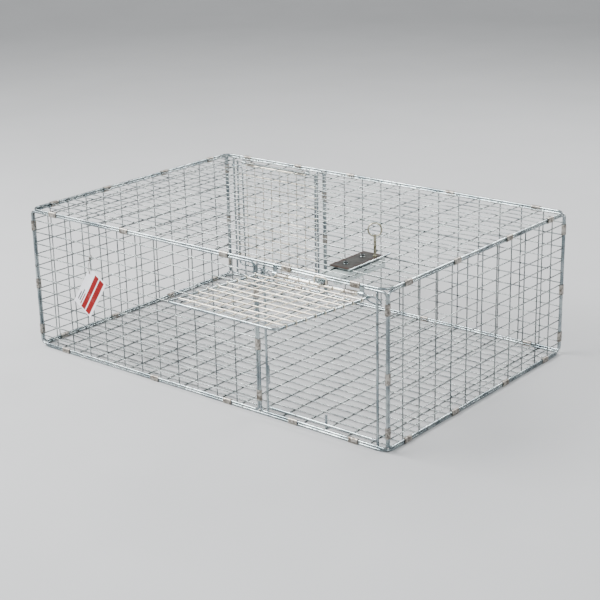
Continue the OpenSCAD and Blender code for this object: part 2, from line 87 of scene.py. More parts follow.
class Paint:
    """A procedural material under construction."""

    def __init__(self, name):
        self.material = bpy.data.materials.new(name)
        self.material.use_nodes = True
        self.tree = self.material.node_tree
        self.tree.nodes.clear()
        self.shader = self.node("ShaderNodeBsdfPrincipled")
        out = self.node("ShaderNodeOutputMaterial")
        self.link(self.shader.outputs[0], out.inputs["Surface"])
        self.place = self.node("ShaderNodeTexCoord").outputs["Object"]

    def node(self, kind, **inputs):
        """A new shader node with the given inputs set."""
        made = self.tree.nodes.new(kind)
        for key, value in inputs.items():
            made.inputs[key].default_value = value
        return made

    def link(self, a, b):
        self.tree.links.new(a, b)

    def noise(self, scale, detail=3.0, rough=0.55, warp=0.0):
        """Noise of the given scale, as a value around a half."""
        n = self.node("ShaderNodeTexNoise", Scale=scale, Detail=detail, Roughness=rough,
                      Distortion=warp)
        self.link(self.place, n.inputs["Vector"])
        return n.outputs["Fac"]

    def cells(self, scale):
        """A patchwork of random colours."""
        n = self.node("ShaderNodeTexVoronoi", Scale=scale)
        self.link(self.place, n.inputs["Vector"])
        return n.outputs["Color"]

    def span(self, value, lo, hi, to_lo=0.0, to_hi=1.0):
        """The value moved from the range lo to hi into the range to_lo to to_hi."""
        n = self.tree.nodes.new("ShaderNodeMapRange")
        for i, v in enumerate((lo, hi, to_lo, to_hi), 1):
            n.inputs[i].default_value = v
        self.link(value, n.inputs[0])
        return n.outputs[0]

    def maths(self, how, a, b=None):
        """One maths step on one or two values, each a number or another node's output."""
        n = self.tree.nodes.new("ShaderNodeMath")
        n.operation = how
        for i, v in enumerate((a, b)):
            if v is None:
                continue
            if isinstance(v, (int, float)):
                n.inputs[i].default_value = v
            else:
                self.link(v, n.inputs[i])
        return n.outputs[0]

    def mix(self, share, a, b, how="MIX"):
        """Colour a with a share of colour b, mixed in or laid over it in another way."""
        n = self.tree.nodes.new("ShaderNodeMix")
        n.data_type, n.blend_type = "RGBA", how
        for socket, v in ((n.inputs[0], share), (n.inputs[6], a), (n.inputs[7], b)):
            if isinstance(v, tuple):
                socket.default_value = (*v, 1.0)
            elif isinstance(v, (int, float)):
                socket.default_value = v
            else:
                self.link(v, socket)
        return n.outputs[2]

    def colour(self, value):
        """Sets the base colour."""
        self.link(value, self.shader.inputs["Base Color"])

    def rough(self, value):
        """Sets the roughness."""
        self.link(value, self.shader.inputs["Roughness"])

    def bump(self, height, strength, distance):
        """Sets the fine unevenness of the surface."""
        n = self.node("ShaderNodeBump", Strength=strength, Distance=distance)
        self.link(height, n.inputs["Height"])
        self.link(n.outputs[0], self.shader.inputs["Normal"])

    def axis(self, which):
        """One coordinate of the place on the object."""
        n = self.tree.nodes.new("ShaderNodeSeparateXYZ")
        self.link(self.place, n.inputs[0])
        return n.outputs[which]


def zinc(name, dark, light, stain, metallic, rough, spangle=330.0, stain_at=(0.56, 0.70)):
    """Galvanised steel: spangle, brighter and duller runs, a few dull spots, drawn grain."""
    p = Paint(name)
    p.shader.inputs["Metallic"].default_value = metallic
    grain = p.mix(0.35, p.noise(spangle * 0.45, 4.0), p.cells(spangle))
    grain_share = p.span(p.noise(spangle * 1.7, 2.0), 0.35, 0.65, 0.0, 0.16)
    runs = p.span(p.noise(22.0, 2.0), 0.35, 0.65)
    tone = p.mix(grain_share, p.mix(runs, dark, light), grain, "OVERLAY")
    spots = p.span(p.noise(75.0, 5.0, 0.62, 0.6), *stain_at)
    p.colour(p.mix(spots, tone, stain))
    polish = p.span(p.noise(140.0, 3.0), 0.3, 0.7, rough - 0.06, rough + 0.06)
    p.rough(p.maths("ADD", polish, p.span(spots, 0.0, 1.0, 0.0, 0.18)))
    p.bump(p.noise(900.0, 3.0, 0.7), 0.05, 0.0002)
    return p.material


def clip_finish():
    """Dull zinc strip, stained beige and brown."""
    p = Paint("clip_finish")
    p.shader.inputs["Metallic"].default_value = 0.88
    blotch = p.span(p.noise(130.0, 4.0, 0.6, 0.8), 0.38, 0.62)
    tone = p.mix(blotch, (0.130, 0.116, 0.102), (0.470, 0.445, 0.405))
    rust = p.span(p.noise(260.0, 4.0, 0.65), 0.60, 0.72)
    p.colour(p.mix(rust, tone, (0.085, 0.045, 0.028)))
    p.rough(p.span(p.noise(200.0, 3.0), 0.3, 0.7, 0.32, 0.55))
    p.bump(p.noise(1100.0, 4.0, 0.7), 0.5, 0.0003)
    return p.material


def plate_finish(lo, hi):
    """Dark satin coating, worn to reddish brown round the edges of the given box."""
    p = Paint("plate_finish")
    p.shader.inputs["Metallic"].default_value = 0.15
    p.shader.inputs["Specular IOR Level"].default_value = 0.35
    near = []
    for i in (0, 1):
        at = p.axis(i)
        near += [p.maths("SUBTRACT", at, lo[i]), p.maths("SUBTRACT", hi[i], at)]
    closest = p.maths("MINIMUM", p.maths("MINIMUM", near[0], near[1]),
                      p.maths("MINIMUM", near[2], near[3]))
    ragged = p.maths("ADD", closest, p.span(p.noise(120.0, 5.0, 0.65), 0.3, 0.7, -0.006, 0.006))
    edge = p.span(ragged, 0.0005, 0.0085, 1.0, 0.0)
    field = p.mix(p.span(p.noise(60.0, 4.0, 0.6, 1.0), 0.35, 0.65),
                  (0.016, 0.014, 0.013), (0.038, 0.039, 0.035))
    tone = p.mix(edge, field, (0.028, 0.013, 0.009))
    scratch = p.span(p.noise(420.0, 5.0, 0.7, 2.5), 0.62, 0.72, 0.0, 0.5)
    p.colour(p.mix(scratch, tone, (0.15, 0.14, 0.125)))
    p.rough(p.span(p.noise(90.0, 4.0), 0.3, 0.7, 0.42, 0.62))
    p.bump(p.noise(800.0, 4.0, 0.7), 0.4, 0.0003)
    return p.material


def yellow_finish():
    """Yellow zinc plate with its olive, gold and faintly green runs."""
    p = Paint("yellow_finish")
    p.shader.inputs["Metallic"].default_value = 0.95
    runs = p.span(p.noise(95.0, 3.0, 0.5, 1.2), 0.35, 0.65)
    tone = p.mix(runs, (0.150, 0.135, 0.080), (0.50, 0.475, 0.37))
    green = p.span(p.noise(160.0, 3.0, 0.5, 0.8), 0.50, 0.66, 0.0, 0.7)
    p.colour(p.mix(green, tone, (0.150, 0.160, 0.105)))
    p.rough(p.span(p.noise(240.0, 3.0), 0.3, 0.7, 0.26, 0.46))
    p.bump(p.noise(1000.0, 3.0, 0.6), 0.3, 0.0002)
    return p.material


def card_finish(name, bars, lines):
    """White card, fibrous and a little soiled, with plain red bars and dark lines printed on it."""
    p = Paint(name)
    p.shader.inputs["Roughness"].default_value = 0.62
    p.shader.inputs["Specular IOR Level"].default_value = 0.25
    fibre = p.span(p.noise(700.0, 5.0, 0.7), 0.3, 0.7)
    paper = p.mix(fibre, (0.76, 0.76, 0.80), (0.83, 0.83, 0.87))
    across, along = p.axis(0), p.axis(1)

    def bar(middle, half, low, high, soft=0.35 * MM):
        """1 inside the bar and 0 outside; its sides are shares of the card's width and length."""
        off = p.maths("ABSOLUTE", p.maths("SUBTRACT", across, middle * CARD_W))
        inside = p.span(off, half * CARD_W - soft, half * CARD_W + soft, 1.0, 0.0)
        start = p.span(along, low * CARD_L - soft, low * CARD_L + soft)
        stop = p.span(along, high * CARD_L - soft, high * CARD_L + soft, 1.0, 0.0)
        return p.maths("MULTIPLY", inside, p.maths("MULTIPLY", start, stop))

    tone = paper
    if bars:
        ink = p.mix(p.span(p.noise(300.0, 4.0), 0.3, 0.7),
                    (0.17, 0.001, 0.002), (0.25, 0.002, 0.003))
    for sides in bars:
        tone = p.mix(bar(*sides), tone, ink)
    for sides in lines:
        tone = p.mix(bar(*sides), tone, (0.025, 0.025, 0.03))
    soil = p.span(p.noise(45.0, 4.0), 0.55, 0.8, 0.0, 0.15)
    p.colour(p.mix(soil, tone, (0.50, 0.48, 0.46)))
    p.bump(p.noise(900.0, 4.0, 0.7), 0.25, 0.0002)
    return p.material


# The card: its size, its lean, the cuts of its top corners, and its hole from its middle
CARD_W, CARD_L, CARD_T = 54 * MM, 95 * MM, 0.6 * MM
CARD_LEAN = math.radians(32.6)
CARD_CUT_LEFT, CARD_CUT_RIGHT = 11 * MM, 3 * MM
CARD_HOLE, CARD_HOLE_R = (-21 * MM, 36 * MM), 2 * MM

# Plain bars printed on the card: middle and half width across it, low and high end along it
CARD_BARS = ((-0.005, 0.108, -0.475, 0.465), (0.277, 0.122, -0.475, 0.465),
             (-0.185, 0.022, -0.43, -0.13))
CARD_LINES = ((-0.28, 0.022, -0.38, -0.06), (-0.37, 0.022, -0.38, -0.16))

FINISH = {
    "zinc_rod": zinc("zinc_rod", (0.165, 0.200, 0.215), (0.42, 0.47, 0.48), (0.13, 0.135, 0.13),
                     1.0, 0.25),
    "mesh_wire": zinc("mesh_wire", (0.095, 0.110, 0.112), (0.27, 0.295, 0.29),
                      (0.08, 0.085, 0.085), 1.0, 0.27, 520.0),
    "door_wire": zinc("door_wire", (0.46, 0.42, 0.34), (0.78, 0.73, 0.63), (0.20, 0.16, 0.12),
                      0.72, 0.32, 520.0, (0.56, 0.72)),
    "clip_steel": clip_finish(),
    "dark_plate": plate_finish(*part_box("latch_plate")),
    "yellow_zinc": yellow_finish(),
    "card": card_finish("card_front", CARD_BARS, CARD_LINES),
}
CARD_BACK = card_finish("card_back", (), ())
SHEET_FINISH = zinc("zinc_sheet", (0.50, 0.58, 0.57), (0.72, 0.79, 0.77), (0.36, 0.38, 0.36),
                    0.55, 0.40, 210.0)
TIE_FINISH = zinc("tie_wire", (0.10, 0.09, 0.075), (0.24, 0.22, 0.19), (0.06, 0.05, 0.04),
                  0.5, 0.45)
# Near-black for the rivets' bores: painted shade deep in the hollow
BORE_PAINTED_SHADE = zinc("bore_painted_shade", (0.008, 0.008, 0.008), (0.024, 0.022, 0.020),
                   (0.012, 0.011, 0.010), 0.10, 0.66)

# ---------------------------------------------------------------- mesh tools


def unit(v):
    """The same direction with length 1."""
    return v / np.linalg.norm(v)


def islands(node):
    """The separate solids of a CAD node, each as an array of its points, each point once."""
    same_place = 2e-6
    mesh = NODES[node].data
    co = np.empty(len(mesh.vertices) * 3)
    mesh.vertices.foreach_get("co", co)
    co = co.reshape(-1, 3)
    _, first, index = np.unique(np.round(co / same_place).astype(np.int64), axis=0,
                                return_index=True, return_inverse=True)
    index = index.ravel()
    label = np.arange(len(first))
    edges = np.empty(len(mesh.edges) * 2, np.int64)
    mesh.edges.foreach_get("vertices", edges)
    edges = index[edges.reshape(-1, 2)]
    while True:
        low = np.minimum(label[edges[:, 0]], label[edges[:, 1]])
        after = label.copy()
        np.minimum.at(after, edges[:, 0], low)
        np.minimum.at(after, edges[:, 1], low)
        after = after[after]
        if (after == label).all():
            break
        label = after
    return [co[first[label == i]] for i in np.unique(label)]


def spindle(points):
    """The two ends and the radius of a straight round solid."""
    end_depth = 1e-5
    middle = points.mean(0)
    axis = np.linalg.svd(points - middle, full_matrices=False)[2][0]
    if axis[np.abs(axis).argmax()] < 0:
        axis = -axis
    t = (points - middle) @ axis
    low = points[t < t.min() + end_depth].mean(0)
    high = points[t > t.max() - end_depth].mean(0)
    axis = unit(high - low)
    off = points - low
    radius = np.linalg.norm(off - np.outer(off @ axis, axis), axis=1).max()
    return low, high, radius


def rods(node):
    """Ends and radius of each straight rod of a CAD node."""
    return [spindle(p) for p in islands(node)]


def circle(count):
    """Evenly spaced angles once round."""
    return np.arange(count) * 2 * math.pi / count


# The domed end of a bar: how far in from its end, and how wide there, in radii of the bar
DOME = ((0.0, 0.72), (0.12, 0.92), (0.4, 1.0))


class Shape:
    """Collects the surfaces of one piece."""

    def __init__(self):
        self.points, self.faces, self.count = [], [], 0

    def add(self, points, faces):
        """Adds a surface from points and faces."""
        self.points.append(np.asarray(points, float))
        self.faces += [[i + self.count for i in f] for f in faces]
        self.count += len(points)

    def sweep(self, path, radius, sides=8, closed=False, dome=True):
        """A round bar along a path, with domed ends unless it is closed."""
        path = np.asarray(path, float)
        radius = np.full(len(path), float(radius))
        if not closed and dome:
            a, b, r = path[0], path[-1], radius[0]
            da, db = unit(path[1] - a), unit(path[-2] - b)
            wide = [r * share for _, share in DOME]
            path = np.vstack([*(a + da * r * inset for inset, _ in DOME), path[1:-1],
                              *(b + db * r * inset for inset, _ in DOME[::-1])])
            radius = np.concatenate([wide, radius[1:-1], wide[::-1]])
        n = len(path)
        if closed:
            along = np.roll(path, -1, 0) - np.roll(path, 1, 0)
        else:
            along = np.gradient(path, axis=0)
        along /= np.linalg.norm(along, axis=1)[:, None]
        side = np.cross(along[0], (0.31, 0.17, 0.93))
        if np.linalg.norm(side) < 0.2:
            side = np.cross(along[0], (0.9, 0.3, 0.1))
        sides_at = []
        for i in range(n):
            side = unit(side - along[i] * (side @ along[i]))
            sides_at.append(side)
        slip = 0.0
        if closed:
            last = unit(sides_at[-1] - along[0] * (sides_at[-1] @ along[0]))
            slip = math.atan2(np.cross(sides_at[0], last) @ along[0], sides_at[0] @ last)
        rings = []
        for i in range(n):
            other = np.cross(along[i], sides_at[i])
            angle = circle(sides) - slip * i / n
            ring = np.outer(np.cos(angle), sides_at[i]) + np.outer(np.sin(angle), other)
            rings.append(path[i] + radius[i] * ring)
        faces = []
        for i in range(n if closed else n - 1):
            j = (i + 1) % n
            for k in range(sides):
                m = (k + 1) % sides
                faces.append([i * sides + k, i * sides + m, j * sides + m, j * sides + k])
        if not closed:
            faces.append(list(range(sides))[::-1])
            faces.append([(n - 1) * sides + k for k in range(sides)])
        self.add(np.vstack(rings), faces)

    def bead(self, centre, normal, wide, high, sides=8):
        """A small flattened nugget of zinc at a weld."""
        normal = unit(np.asarray(normal, float))
        u = unit(np.cross(normal, (0.21, 0.83, 0.51)))
        v = np.cross(normal, u)
        points = [centre - normal * high]
        for lift in (-0.6, 0.0, 0.6):
            reach = wide * math.sqrt(1 - lift * lift)
            points += [centre + normal * high * lift + reach * (math.cos(a) * u + math.sin(a) * v)
                       for a in circle(sides)]
        points.append(centre + normal * high)
        faces = [[0, 1 + (k + 1) % sides, 1 + k] for k in range(sides)]
        for r in range(2):
            for k in range(sides):
                m = (k + 1) % sides
                a, b = 1 + r * sides, 1 + (r + 1) * sides
                faces.append([a + k, a + m, b + m, b + k])
        top, last = 1 + 3 * sides, 1 + 2 * sides
        faces += [[last + k, last + (k + 1) % sides, top] for k in range(sides)]
        self.add(points, faces)

    def lathe(self, x, y, profile, sides=28):
        """A closed profile of (radius, height) turned about an upright axis."""
        n = len(profile)
        points = [(x + r * math.cos(a), y + r * math.sin(a), z)
                  for a in circle(sides) for r, z in profile]
        faces = []
        for i in range(sides):
            a, b = i * n, (i + 1) % sides * n
            faces += [[a + k, b + k, b + (k + 1) % n, a + (k + 1) % n] for k in range(n)]
        self.add(points, faces)

    def hook(self, centre, toward, across, gap, reach, thick):
        """A wire end bent round a rod, open by gap degrees on each side of toward."""
        steps = np.radians(np.linspace(gap, 360 - gap, 15))
        self.sweep([centre + reach * (math.cos(a) * toward + math.sin(a) * across)
                    for a in steps], thick)

    def piece(self, name, slot, nodes, sharp=55.0):
        """The collected surfaces as one object, smooth up to the angle sharp."""
        obj = add_object(name, np.vstack(self.points), self.faces)
        obj.data.validate()
        obj.data.update()
        smooth(obj.data, sharp)
        return settle(obj, slot, nodes)


def finish(obj, slot):
    """Gives an object the finish of its slot."""
    obj.data.materials.clear()
    obj.data.materials.append(FINISH[slot])


def settle(obj, slot, nodes):
    """Gives a piece the finish of its slot, puts it under its body and hides the nodes it stands
    for.
    """
    finish(obj, slot)
    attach(obj, BODY_OF[nodes[0]])
    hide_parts(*nodes)
    return obj


def add_object(name, points, faces):
    """A new object in the scene from points and faces."""
    mesh = bpy.data.meshes.new(name)
    mesh.from_pydata([tuple(p) for p in points], [], faces)
    obj = bpy.data.objects.new(name, mesh)
    bpy.context.scene.collection.objects.link(obj)
    return obj


def smooth(mesh, sharp):
    """Shades a mesh smooth up to the angle sharp."""
    mesh.polygons.foreach_set("use_smooth", [True] * len(mesh.polygons))
    mesh.set_sharp_from_angle(angle=math.radians(sharp))


def bowed(a, b, step, sway):
    """Points from a to b, about a step apart, with a slight, smooth wander of up to sway."""
    length = np.linalg.norm(b - a)
    count = max(3, int(round(length / step)) + 1)
    t = np.linspace(0, 1, count)
    axis = (b - a) / length
    u = unit(np.cross(axis, (0.13, 0.41, 0.90) if abs(axis[2]) < 0.9 else (1.0, 0.2, 0.1)))
    v = np.cross(axis, u)
    points = a + np.outer(t, b - a)
    for direction in (u, v):
        waves = rng.uniform(1.2, 4.5, 2)
        phase = rng.uniform(0, 2 * math.pi, 2)
        drift = 0.6 * np.sin(waves[0] * math.pi * t + phase[0])
        drift += 0.4 * np.sin(waves[1] * 2 * math.pi * t + phase[1])
        points += np.outer(drift * np.sin(math.pi * t) ** 0.5 * sway, direction)
    return points


def crossing(one, two):
    """Where two straight wires pass closest: the middle point and the way from one to two."""
    beyond = 0.01
    a, b = one[0], two[0]
    u, v = one[1] - one[0], two[1] - two[0]
    w = a - b
    uu, uv, vv, uw, vw = u @ u, u @ v, v @ v, u @ w, v @ w
    d = uu * vv - uv * uv
    s, t = (uv * vw - vv * uw) / d, (uu * vw - uv * uw) / d
    if not (-beyond < s < 1 + beyond and -beyond < t < 1 + beyond):
        return None
    p, q = a + s * u, b + t * v
    return (p + q) / 2, q - p


def mesh_panel(prefix, lines, crosses, slot, sway=0.22 * MM):
    """Both layers of one welded panel, with a nugget of zinc at every weld."""
    step, weld_gap, end_in = 12.7 * MM, 0.4 * MM, 0.4 * MM
    sets = [rods(lines), rods(crosses)]
    for node, wires in zip((lines, crosses), sets):
        shape = Shape()
        for a, b, r in wires:
            shape.sweep(bowed(a, b, step, sway), r)
            for end, inward in ((a, unit(b - a)), (b, unit(a - b))):
                shape.bead(end + inward * end_in, inward, r * 1.28, r * 0.75, 7)
        if node == crosses:
            for one in sets[0]:
                for two in sets[1]:
                    met = crossing(one, two)
                    radii = one[2] + two[2]
                    if met is not None and np.linalg.norm(met[1]) < radii + weld_gap:
                        wide = radii * rng.uniform(0.74, 0.90)
                        shape.bead(met[0], met[1], wide, one[2] * 0.62)
        shape.piece(f"{prefix}_{'lines' if node == lines else 'crosses'}", slot, [node])


def loop_path(node, corner, step=14 * MM, sway=0.25 * MM):
    """The centre line of a rounded rectangular loop of rod, from its node's box."""
    lo, hi = (np.array(v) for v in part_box(node))
    flat = int(np.argmin(hi - lo))
    r = (hi - lo)[flat] / 2
    i, j = [k for k in range(3) if k != flat]
    middle = (lo + hi) / 2
    half = (hi - lo) / 2 - r
    reach_i, reach_j = half[i] - corner, half[j] - corner
    quarters = ((1, 1), (-1, 1), (-1, -1), (1, -1))
    bend_steps = 8

    def around(quarter, a):
        """The point at angle a on the bend of the given quarter."""
        p = middle.copy()
        p[i] += quarter[0] * reach_i + corner * math.cos(a)
        p[j] += quarter[1] * reach_j + corner * math.sin(a)
        return p

    path = []
    for q in range(4):
        path += [around(quarters[q], (q + k / bend_steps) * math.pi / 2)
                 for k in range(bend_steps + 1)]
        stop = around(quarters[(q + 1) % 4], (q + 1) * math.pi / 2)
        path += list(bowed(path[-1], stop, step, sway))[1:-1]
    return np.array(path), r


def rod_loop(node, corner, seam):
    """A closed loop of rod with the bead of its butt weld."""
    path, r = loop_path(node, corner)
    shape = Shape()
    shape.sweep(path, r, 16, closed=True)
    at = int(seam * len(path))
    along = unit(path[(at + 1) % len(path)] - path[at])
    shape.bead(path[at], along, r * 1.14, r * 0.55, 12)
    shape.piece(f"{node}_loop", "zinc_rod", [node])


def straight_rods(node, slot, name, sway=0.2 * MM, welded=True, step=14 * MM):
    """The straight rods of a CAD node, each with a weld bead at both ends where welded."""
    shape = Shape()
    for a, b, r in rods(node):
        shape.sweep(bowed(a, b, step, sway), r, 16)
        if welded:
            for end, inward in ((a, unit(b - a)), (b, unit(a - b))):
                shape.bead(end + inward * 0.3 * r, inward, r * 1.1, r * 0.5, 10)
    shape.piece(name, slot, [node])


# ---------------------------------------------------------------- cage panels

HINGE_SWAY, DOOR_SWAY = 0.01 * MM, 0.15 * MM
DECK_CORNER, SIDE_CORNER = 20 * MM, 8 * MM

for panel, crossed in (("floor", "cross"), ("top", "cross"), ("front", "upright"),
                       ("rear", "upright"), ("left", "upright"), ("right", "upright")):
    mesh_panel(f"{panel}_mesh", f"{panel}_long_wires", f"{panel}_{crossed}_wires", "mesh_wire")
    rod_loop(f"{panel}_frame", DECK_CORNER if panel in ("floor", "top") else SIDE_CORNER,
             rng.uniform(0.2, 0.8))
for end in ("front", "rear"):
    rod_loop(f"{end}_doorway_frame", SIDE_CORNER, 0.62)
    straight_rods(f"{end}_guide_rods", "zinc_rod", f"{end}_guides")
    straight_rods(f"{end}_sill_bar", "zinc_rod", f"{end}_sill")
    straight_rods(f"{end}_hinge_rod", "zinc_rod", f"{end}_hinge_pin", HINGE_SWAY, welded=False)
    straight_rods(f"{end}_door_hinge_bar", "door_wire", f"{end}_door_bar", HINGE_SWAY)
    mesh_panel(f"{end}_door_mesh", f"{end}_door_rows", f"{end}_door_uprights", "door_wire",
               DOOR_SWAY)

# ---------------------------------------------------------------- door wires bent round their rods


def door_wraps(end):
    """The wire ends of a door: the uprights' round the hinge bar, the rows' round the side rods.

    None is where the shut front door meets the tab, or where the trigger's finger comes up."""
    low, high, rod = rods(f"{end}_door_hinge_bar")[0]
    reach, thick = rod + 1.0 * MM, 0.95 * MM
    hinge_room, tab_room = 24 * MM, 5 * MM
    middle = (low + high) / 2
    across = unit(high - low)
    lever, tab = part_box("trigger_lever"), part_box("guide_tab")
    shape = Shape()
    for a, b, _ in rods(f"{end}_door_uprights"):
        near, far = (a, b) if np.linalg.norm(a - middle) < np.linalg.norm(b - middle) else (b, a)
        outward = unit(far - near)
        normal = np.cross(across, outward)
        centre = middle + across * ((near - middle) @ across)
        if end == "front" and lever[0].x < centre[0] < lever[1].x:
            continue
        shape.hook(centre, -outward, normal, 62 + rng.uniform(0, 14), reach, thick)
    for a, b, _ in rods(f"{end}_door_rows"):
        for tip in (a, b):
            away = across * (1 if (tip - middle) @ across > 0 else -1)
            drop = (tip - middle) @ outward
            if drop < hinge_room:
                continue
            shut_z = middle[2] - drop
            at_tab = tab[0].z - tab_room < shut_z < tab[1].z + tab_room
            if end == "front" and away[0] < 0 and at_tab:
                continue
            centre = tip - normal * ((tip - middle) @ normal) + away * rod
            shape.hook(centre, -away, normal, 8 + rng.uniform(0, 30), reach, thick)
    shape.piece(f"{end}_door_wraps", "door_wire", [f"{end}_door_uprights"])


for end in ("front", "rear"):
    door_wraps(end)

# ---------------------------------------------------------------- clips


def clip_frame(points):
    """Middle, axes and size of a folded clip: along it, across its two rods, towards its seam."""
    seam_half = 1.3 * MM
    middle = points.mean(0)
    axes = np.linalg.svd(points - middle, full_matrices=False)[2]
    along, step = axes[0], axes[1]
    face = np.cross(along, step)
    for axis in (along, step, face):
        at = (points - middle) @ axis
        middle = middle + axis * (at.max() + at.min()) / 2
    off = points - middle
    if (off @ face)[np.abs(off @ step) < seam_half].mean() < 0:
        face, along = -face, -along
    return middle, along, step, face, [np.ptp(off @ axis) for axis in (along, step, face)]


def clip_profile(high, deep, gap):
    """A clip's section as rows of place and outward direction, from one lip round to the other."""
    outer = deep / 2
    rise = high / 2 - outer
    profile = [(t, outer, 0.0, 1.0) for t in np.linspace(gap, rise, 3)]
    for a in np.radians(np.linspace(90, -90, 13)[1:-1]):
        c, s = math.cos(a), math.sin(a)
        profile.append((rise + outer * c, outer * s, c, s))
    profile += [(t, -outer, 0.0, -1.0) for t in np.linspace(rise, -rise, 5)]
    for a in np.radians(np.linspace(-90, 90, 13)[1:-1]):
        c, s = math.cos(a), math.sin(a)
        profile.append((-rise - outer * c, outer * s, -c, s))
    return profile + [(t, outer, 0.0, 1.0) for t in np.linspace(-rise, -gap, 3)]


# Rows of points along half a clip, as shares of its length, and how far its edge is rounded there
CLIP_ROWS = ((0.5, 0.22 * MM), (0.485, 0.06 * MM), (0.44, 0.0), (0.3, 0.0), (0.16, 0.0),
             (0.08, 0.0))
CLIP_STATIONS = ([(-s, off) for s, off in CLIP_ROWS] + [(0.0, 0.0)]
                 + [(s, off) for s, off in CLIP_ROWS[::-1]])


def add_clip(shape, points, grip):
    """A strip folded round two rods: two lips that almost meet, a crimp and rounded ends.

    The crimp reaches the inside by its share grip, which is none where a rod turns in the clip."""
    sheet, gap, crimp_share, lip_edge = 1.2 * MM, 1.0 * MM, 0.1, 0.15 * MM
    middle, along, step, face, (length, high, deep) = clip_frame(points)
    profile = clip_profile(high, deep, gap)
    m = len(profile)
    squeeze = rng.uniform(0.25, 0.5) * MM
    lip = rng.uniform(-0.25, 0.35) * MM
    points = []
    for s, round_off in CLIP_STATIONS:
        pinch = squeeze * math.exp(-(s / crimp_share) ** 2)
        for layer in (0, 1):
            for k, (a, b, na, nb) in enumerate(profile):
                inset = sheet - round_off if layer else round_off
                lift = 0.0
                if k in (0, m - 1):
                    inset += -lip_edge if layer else lip_edge
                    lift = lip * (0.175 if k else -0.175)
                inward = pinch * abs(nb) * (grip if layer else 1.0)
                points.append(middle + along * s * length + step * (a - na * inset)
                              + face * (b - nb * (inset + inward) + lift))
    faces = []
    for i in range(len(CLIP_STATIONS) - 1):
        a, b = i * 2 * m, (i + 1) * 2 * m
        for k in range(m - 1):
            faces.append([a + k, b + k, b + k + 1, a + k + 1])
            faces.append([a + m + k, a + m + k + 1, b + m + k + 1, b + m + k])
        faces.append([a, a + m, b + m, b])
        faces.append([a + m - 1, b + m - 1, b + 2 * m - 1, a + 2 * m - 1])
    tail = (len(CLIP_STATIONS) - 1) * 2 * m
    for k in range(m - 1):
        faces.append([k, k + 1, m + k + 1, m + k])
        faces.append([tail + k, tail + m + k, tail + m + k + 1, tail + k + 1])
    shape.add(points, faces)


for node in ("top_edge_clips", "floor_edge_clips", "corner_clips", "jamb_clips",
             "front_door_clips", "rear_door_clips"):
    folded = Shape()
    for solid in islands(node):
        add_clip(folded, solid, grip=0.0 if "door_clips" in node else 0.5)
    folded.piece(f"{node}_folded", "clip_steel", [node], sharp=50.0)

# ---------------------------------------------------------------- round rings


def ring_piece(node, slot, name, seam_turn):
    """A closed wire ring in the CAD solid's plane, with a weld bead seam_turn degrees round."""
    points = islands(node)[0]
    middle = (points.max(0) + points.min(0)) / 2
    axes = np.linalg.svd(points - middle, full_matrices=False)[2]
    u, v, normal = axes
    wire = np.ptp((points - middle) @ normal) / 2
    reach = np.linalg.norm(points - middle, axis=1).max() - wire
    shape = Shape()
    shape.sweep([middle + reach * (math.cos(a) * u + math.sin(a) * v) for a in circle(56)],
                wire, 14, closed=True)
    a = math.radians(seam_turn)
    at = middle + reach * (math.cos(a) * u + math.sin(a) * v)
    shape.bead(at, -math.sin(a) * u + math.cos(a) * v, wire * 1.18, wire * 0.7, 12)
    shape.piece(name, slot, [node])


ring_piece("lock_ring_left", "zinc_rod", "left_lock_ring", 100)
ring_piece("lock_ring_right", "zinc_rod", "right_lock_ring", 260)
ring_piece("pull_ring", "yellow_zinc", "pull_ring_wire", 75)

# ---------------------------------------------------------------- CAD pieces that stay


def keep(node, slot, bevel=0.0):
    """A CAD solid whose shape is right: it gets its finish and, where asked, softened edges."""
    obj = NODES[node]
    finish(obj, slot)
    if bevel:
        edge = obj.modifiers.new("soft_edges", "BEVEL")
        edge.width, edge.segments = bevel, 2
        edge.limit_method, edge.angle_limit = "ANGLE", math.radians(35)
        edge.harden_normals = True


for node in ("front_door_frame", "rear_door_frame"):
    keep(node, "zinc_rod")
for node in ("front_door_bail", "rear_door_bail"):
    keep(node, "door_wire")
for node in ("front_stop_post", "rear_stop_post", "rear_guard_rod"):
    keep(node, "zinc_rod")
for node in ("front_hinge_hangers", "rear_hinge_hangers"):
    keep(node, "zinc_rod", 0.25 * MM)
keep("guide_tab", "zinc_rod", 0.3 * MM)
keep("latch_plate", "dark_plate", 0.45 * MM)
keep("latch_channel", "zinc_rod", 0.4 * MM)
NODES["latch_channel"].data.materials[0] = SHEET_FINISH
keep("latch_edge_rod", "zinc_rod", 0.2 * MM)
keep("trigger_pivot", "zinc_rod", 0.3 * MM)
keep("trigger_lever", "zinc_rod", 0.3 * MM)
keep("pull_pin", "yellow_zinc", 0.3 * MM)

# ---------------------------------------------------------------- rivets


# A rivet's outline, radius and height in millimetres: up from its foot, up from the plate and
# down from its top. The last faces of a turn are its bore.
RIVET_FOOT = ((2.4, 0.0), (4.7, 0.0), (5.0, 0.3), (4.9, 0.7), (3.65, 0.8))
RIVET_FLANGE = ((3.6, 0.0), (4.75, 0.02), (5.0, 0.3), (4.85, 0.65), (3.95, 0.95), (3.6, 1.4))
RIVET_LIP = ((3.6, -1.9), (3.85, -1.4), (4.4, -1.2), (4.6, -0.75), (4.45, -0.25), (4.0, 0.0),
             (3.35, -0.05), (2.8, -0.4), (2.45, -1.0), (2.4, -2.0))
BORE_FACES = 5


